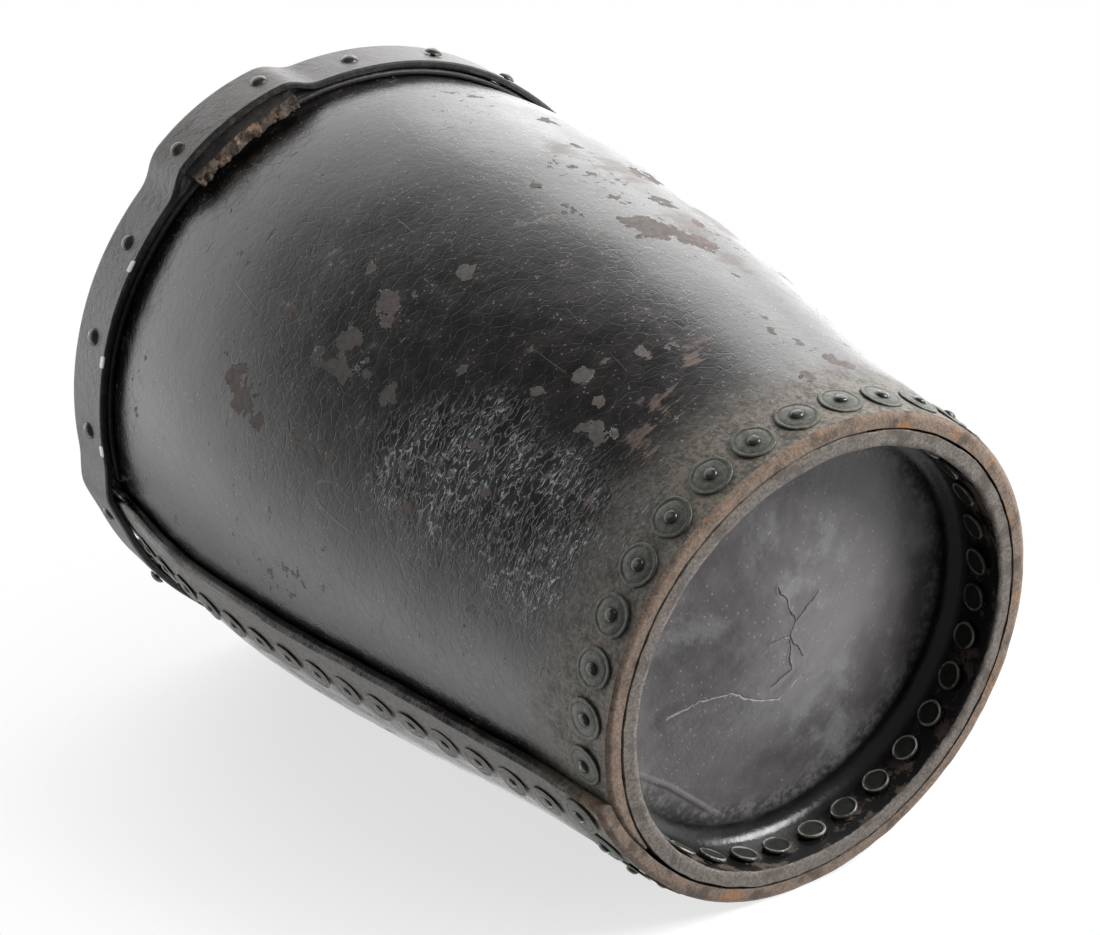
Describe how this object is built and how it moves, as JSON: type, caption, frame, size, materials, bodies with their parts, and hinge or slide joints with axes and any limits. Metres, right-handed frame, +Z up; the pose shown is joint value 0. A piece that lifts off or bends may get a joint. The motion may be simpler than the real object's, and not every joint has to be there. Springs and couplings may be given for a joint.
{
  "type": "leather fire bucket",
  "caption": "Antique black japanned leather bucket: rolled and riveted tapered wall with a lapped seam, dished bottom, banded rim, strap tab stubs.",
  "frame": {"origin": "centre of the foot, on the plane it stands on", "axes": "+Z up the bucket's axis towards the mouth; +Y and -Y through the two strap tabs; the lapped seam faces -X"},
  "size_m": [0.2473, 0.257, 0.3],
  "materials": {
    "japanned_leather": "glossy black japanning, crazed, with matt purple-brown flaked patches",
    "bottom_leather": "dark grey semi-gloss, cracked and scuffed",
    "strip_leather": "dark grey satin",
    "raw_leather": "torn fibrous leather, brown and black with tan flecks",
    "blackened_iron": "flat blackened roves with darker peened ends"
  },
  "bodies": {
    "root": {"body_wall": "japanned_leather", "bottom_dish": "bottom_leather", "foot_rivet_01": "blackened_iron", "foot_rivet_02": "blackened_iron", "foot_rivet_03": "blackened_iron", "foot_rivet_04": "blackened_iron", "foot_rivet_05": "blackened_iron", "foot_rivet_06": "blackened_iron", "foot_rivet_07": "blackened_iron", "foot_rivet_08": "blackened_iron", "foot_rivet_09": "blackened_iron", "foot_rivet_10": "blackened_iron", "foot_rivet_11": "blackened_iron", "foot_rivet_12": "blackened_iron", "foot_rivet_13": "blackened_iron", "foot_rivet_14": "blackened_iron", "foot_rivet_15": "blackened_iron", "foot_rivet_16": "blackened_iron", "foot_rivet_17": "blackened_iron", "foot_rivet_18": "blackened_iron", "foot_rivet_19": "blackened_iron", "foot_rivet_20": "blackened_iron", "foot_rivet_21": "blackened_iron", "foot_rivet_22": "blackened_iron", "foot_rivet_23": "blackened_iron", "foot_rivet_24": "blackened_iron", "foot_rivet_25": "blackened_iron", "foot_rivet_26": "blackened_iron", "foot_rivet_27": "blackened_iron", "foot_rivet_28": "blackened_iron", "foot_rivet_29": "blackened_iron", "foot_rivet_30": "blackened_iron", "foot_rivet_31": "blackened_iron", "foot_rivet_32": "blackened_iron", "rim_band": "strip_leather", "rim_liner": "strip_leather", "seam_rivet_01": "blackened_iron", "seam_rivet_02": "blackened_iron", "seam_rivet_03": "blackened_iron", "seam_rivet_04": "blackened_iron", "seam_rivet_05": "blackened_iron", "seam_rivet_06": "blackened_iron", "seam_rivet_07": "blackened_iron", "seam_rivet_08": "blackened_iron", "seam_rivet_09": "blackened_iron", "seam_rivet_10": "blackened_iron", "seam_rivet_11": "blackened_iron", "seam_rivet_12": "blackened_iron", "seam_rivet_13": "blackened_iron", "seam_rivet_14": "blackened_iron", "seam_rivet_15": "blackened_iron", "strap_tab_back": "raw_leather", "strap_tab_front": "raw_leather", "tab_nail_back_1": "blackened_iron", "tab_nail_back_2": "blackened_iron", "tab_nail_front_1": "blackened_iron", "tab_nail_front_2": "blackened_iron"}
  },
  "joints": []
}
